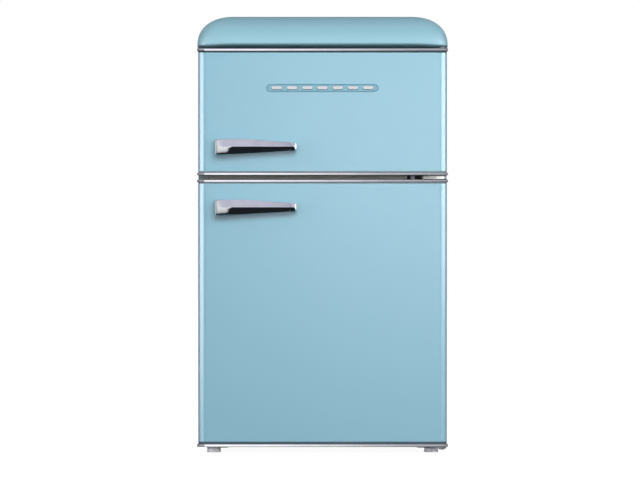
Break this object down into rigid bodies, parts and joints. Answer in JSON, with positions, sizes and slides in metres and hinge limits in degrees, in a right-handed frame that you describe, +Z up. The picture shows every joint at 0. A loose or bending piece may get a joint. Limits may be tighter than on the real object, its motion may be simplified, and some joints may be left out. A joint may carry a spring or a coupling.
{
  "type": "top freezer refrigerator",
  "caption": "Retro compact refrigerator: freezer door above a taller fridge door, rounded top cap, bar handles, fitted interior and rear condenser.",
  "frame": {"origin": "on the floor, under the middle of the refrigerator's bounding box", "axes": "+Z up, -Y towards the doors and the user, +X towards the hinge side, on the right seen from the front"},
  "size_m": [0.483, 0.548, 0.841],
  "materials": {
    "body_paint": "gloss pastel blue enamel",
    "cap_paint": "gloss pastel blue moulding",
    "bright_trim": "bright chrome plating",
    "sheet_steel": "zinc-coated sheet, satin",
    "dark_metal": "black enamel, semi-gloss",
    "liner_white": "vacuum-formed white polystyrene",
    "clear_plastic": "clear moulded polystyrene",
    "shelf_glass": "tempered clear glass",
    "insulation": "rigid polyurethane foam, matt",
    "seal_rubber": "soft grey vinyl",
    "black_rubber": "black moulded rubber",
    "grey_plastic": "grey moulded plastic",
    "black_plastic": "black moulded plastic",
    "copper": "bare drawn copper"
  },
  "bodies": {
    "cabinet": {"outer_wrapper": "body_paint", "top_cap": "cap_paint", "back_panel": "sheet_steel", "base_pan": "sheet_steel", "compressor_tray": "sheet_steel", "cabinet_foam": "insulation", "freezer_liner": "liner_white", "fridge_liner": "liner_white", "mullion_rail": "sheet_steel", "base_rail": "sheet_steel", "top_hinge": "sheet_steel", "middle_hinge": "bright_trim", "middle_hinge_screw_1": "dark_metal", "middle_hinge_screw_2": "dark_metal", "bottom_hinge": "sheet_steel", "rear_foot_left": "grey_plastic", "rear_foot_right": "grey_plastic", "freezer_shelf": "bright_trim", "glass_shelf_upper": "shelf_glass", "glass_shelf_lower": "shelf_glass", "crisper_cover": "clear_plastic", "thermostat_housing": "liner_white", "lamp_lens": "clear_plastic", "evaporator_coil": "copper", "condenser": "dark_metal", "condenser_bracket_lower": "dark_metal", "condenser_bracket_upper": "dark_metal", "filter_drier": "copper", "compressor": "dark_metal", "relay_cover": "black_plastic", "compressor_grommet_1": "black_rubber", "compressor_grommet_2": "black_rubber", "compressor_grommet_3": "black_rubber", "compressor_grommet_4": "black_rubber", "drip_tray": "liner_white", "cord_gland": "black_rubber"},
    "front_foot_left": {"front_foot_left": "grey_plastic"},
    "front_foot_right": {"front_foot_right": "grey_plastic"},
    "thermostat_knob": {"thermostat_knob": "liner_white"},
    "light_switch_plunger": {"light_switch_plunger": "liner_white"},
    "crisper_drawer": {"crisper_drawer": "clear_plastic"},
    "freezer_door": {"freezer_door_skin": "body_paint", "freezer_door_foam": "insulation", "freezer_door_liner": "liner_white", "freezer_door_gasket": "seal_rubber", "freezer_door_bottom_trim": "bright_trim", "freezer_door_top_trim": "bright_trim", "freezer_door_handle": "bright_trim", "badge_bar": "bright_trim", "freezer_door_rack": "clear_plastic"},
    "fridge_door": {"fridge_door_skin": "body_paint", "fridge_door_foam": "insulation", "fridge_door_liner": "liner_white", "fridge_door_gasket": "seal_rubber", "fridge_door_bottom_trim": "bright_trim", "fridge_door_top_trim": "bright_trim", "fridge_door_handle": "bright_trim", "fridge_door_shelf_upper": "clear_plastic", "fridge_door_shelf_middle": "clear_plastic", "fridge_door_bottle_bin": "clear_plastic"}
  },
  "joints": [
    {"name": "freezer_door_hinge", "type": "hinge", "parent": "cabinet", "child": "freezer_door", "pos_m": [0.2295, -0.216, 0.657], "axis": [0, 0, 1], "range_deg": [0, 150]},
    {"name": "fridge_door_hinge", "type": "hinge", "parent": "cabinet", "child": "fridge_door", "pos_m": [0.2295, -0.216, 0.27], "axis": [0, 0, 1], "range_deg": [0, 150]},
    {"name": "crisper_slide", "type": "slide", "parent": "cabinet", "child": "crisper_drawer", "axis": [0, -1, 0], "range_m": [0, 0.141]},
    {"name": "thermostat_turn", "type": "hinge", "parent": "cabinet", "child": "thermostat_knob", "pos_m": [0.16, -0.062, 0.451], "axis": [-1, 0, 0], "range_deg": [-135, 135]},
    {"name": "light_switch_slide", "type": "slide", "parent": "cabinet", "child": "light_switch_plunger", "axis": [0, -1, 0], "range_m": [0, 0.005]},
    {"name": "front_foot_left_slide", "type": "slide", "parent": "cabinet", "child": "front_foot_left", "axis": [0, 0, -1], "range_m": [0, 0.01]},
    {"name": "front_foot_right_slide", "type": "slide", "parent": "cabinet", "child": "front_foot_right", "axis": [0, 0, -1], "range_m": [0, 0.01]}
  ],
  "couplings": [
    {"joint": "crisper_slide", "follows": "fridge_door_hinge", "m_per_rad": 0.0535},
    {"joint": "light_switch_slide", "follows": "fridge_door_hinge", "m_per_rad": 0.0019}
  ]
}
